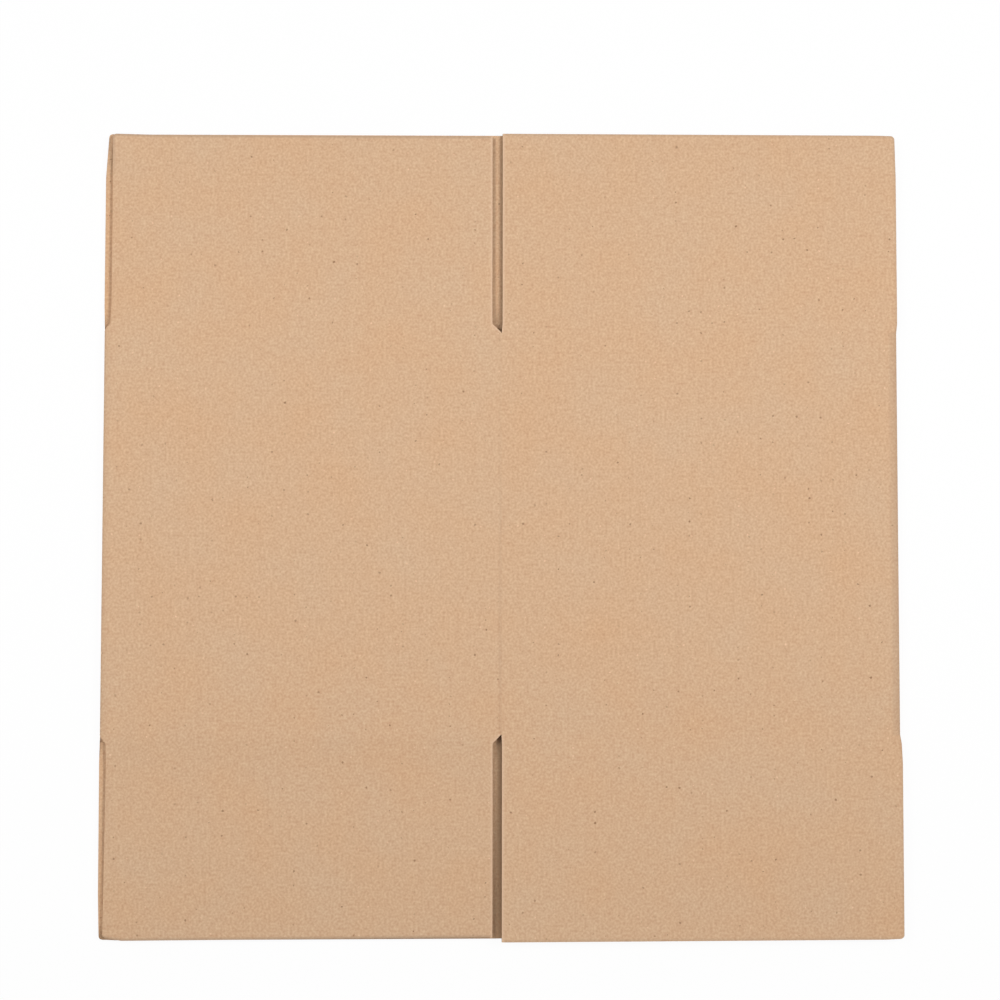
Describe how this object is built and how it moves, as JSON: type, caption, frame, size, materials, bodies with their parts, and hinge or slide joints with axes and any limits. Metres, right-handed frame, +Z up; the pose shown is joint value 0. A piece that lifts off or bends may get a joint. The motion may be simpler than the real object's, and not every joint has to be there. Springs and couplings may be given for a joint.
{
  "type": "flattened cardboard box",
  "caption": "Regular slotted corrugated shipping box folded flat: brown board walls, slotted flaps held straight out, folded side edges and a glued tab joint underneath.",
  "frame": {"origin": "middle of the folded box, on the surface that it lies on", "axes": "+X across the flutes to the right, +Y along the flutes and the height of the walls, +Z up from the underside"},
  "size_m": [0.62, 0.6274, 0.0112],
  "materials": {
    "brown_board": "matt unbleached brown paper liner with fine fibres and flecks"
  },
  "bodies": {
    "root": {"folded_box": "brown_board"}
  },
  "joints": []
}
